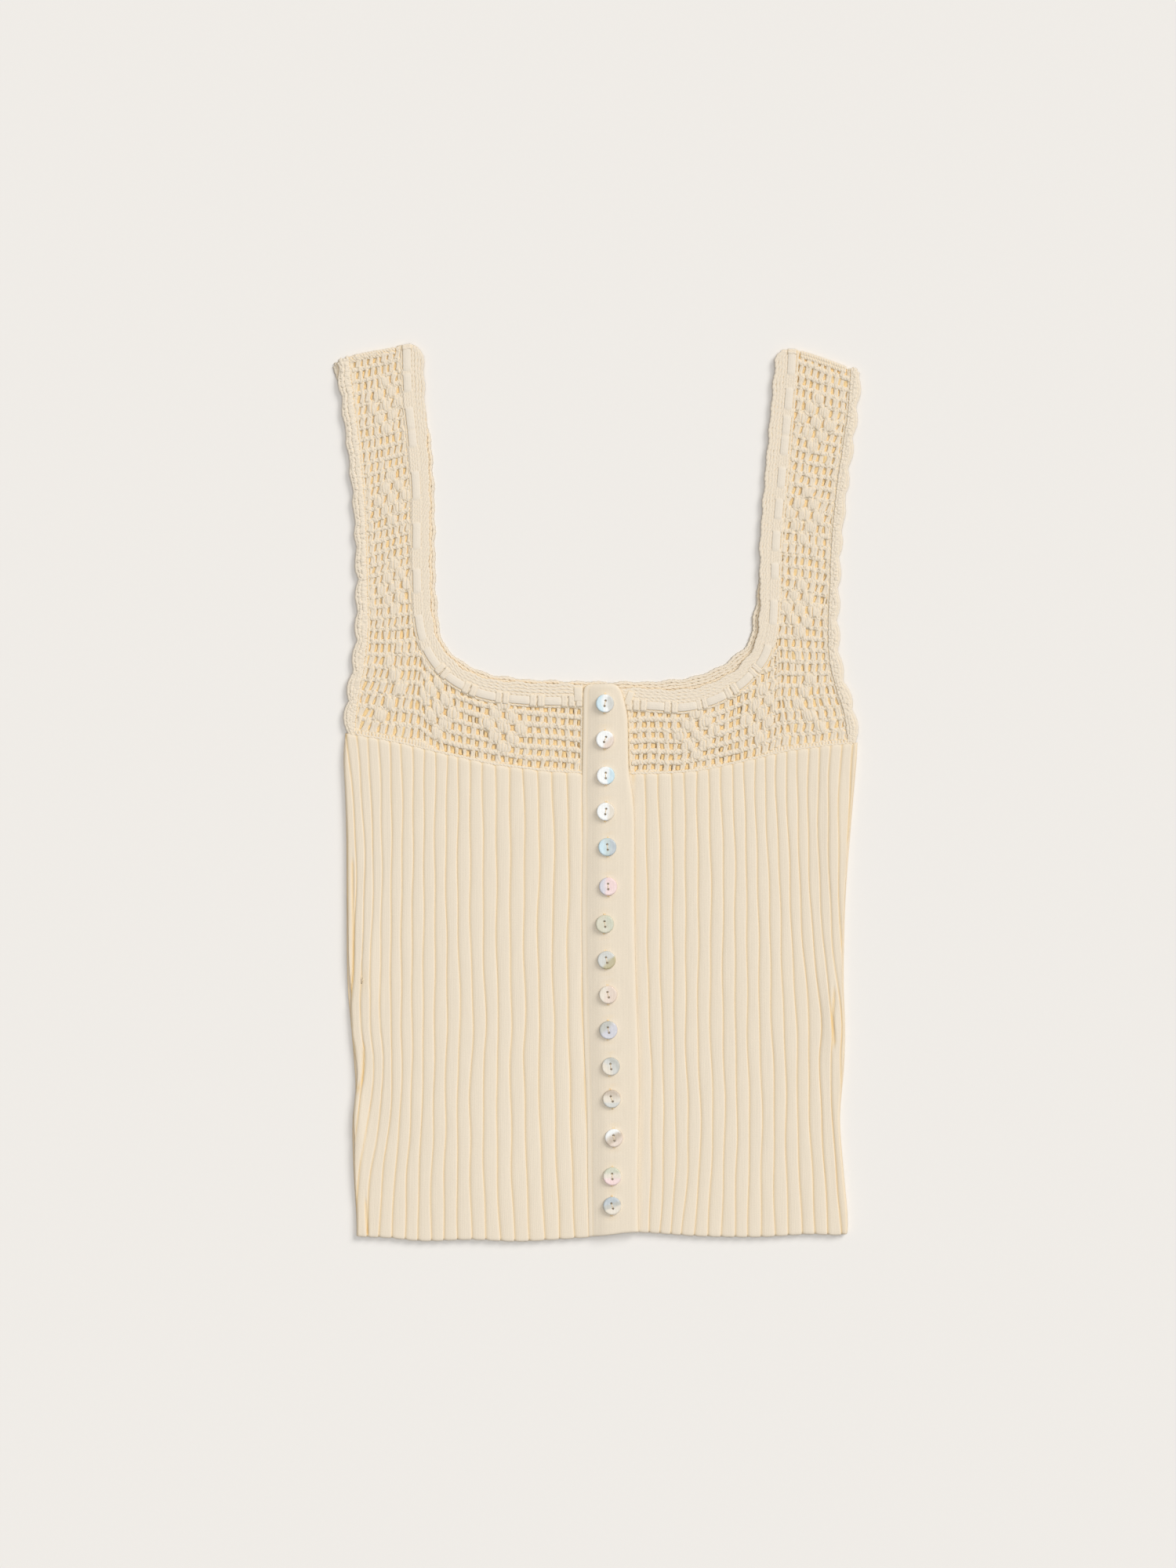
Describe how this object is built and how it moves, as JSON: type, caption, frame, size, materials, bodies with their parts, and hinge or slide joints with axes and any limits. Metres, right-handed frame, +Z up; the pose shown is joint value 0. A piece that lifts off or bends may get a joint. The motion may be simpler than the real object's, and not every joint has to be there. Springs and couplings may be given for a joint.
{
  "type": "crochet top",
  "caption": "Sleeveless rib-knit top laid flat, with a crochet mesh yoke and wide shoulder straps, a ribbon threaded round the neck and a buttoned front band.",
  "frame": {"origin": "on the surface the top lies on, under the middle of its outline", "axes": "+Y from the hem to the shoulders, +X to the viewer's right, +Z up from the surface; left and right in the node names are the viewer's"},
  "size_m": [0.3091, 0.5255, 0.0084],
  "materials": {
    "rib": "matt cream cotton rib knit",
    "crochet": "matt cream cotton crochet",
    "ribbon": "soft cream flat-knit ribbon",
    "band": "matt cream plain knit",
    "shell": "polished pearly shell"
  },
  "bodies": {
    "root": {"back_rib": "rib", "front_rib_left": "rib", "front_rib_right": "rib", "back_yoke": "crochet", "front_yoke_left": "crochet", "front_yoke_right": "crochet", "armhole_edging_front_left": "crochet", "armhole_edging_front_right": "crochet", "armhole_edging_back_left": "crochet", "armhole_edging_back_right": "crochet", "neck_edging_front_left": "crochet", "neck_edging_front_right": "crochet", "neck_edging_back": "crochet", "ribbon_front_left": "ribbon", "ribbon_front_right": "ribbon", "ribbon_back": "ribbon", "placket_over": "band", "placket_under": "band", "button_01": "shell", "button_02": "shell", "button_03": "shell", "button_04": "shell", "button_05": "shell", "button_06": "shell", "button_07": "shell", "button_08": "shell", "button_09": "shell", "button_10": "shell", "button_11": "shell", "button_12": "shell", "button_13": "shell", "button_14": "shell", "button_15": "shell"}
  },
  "joints": []
}
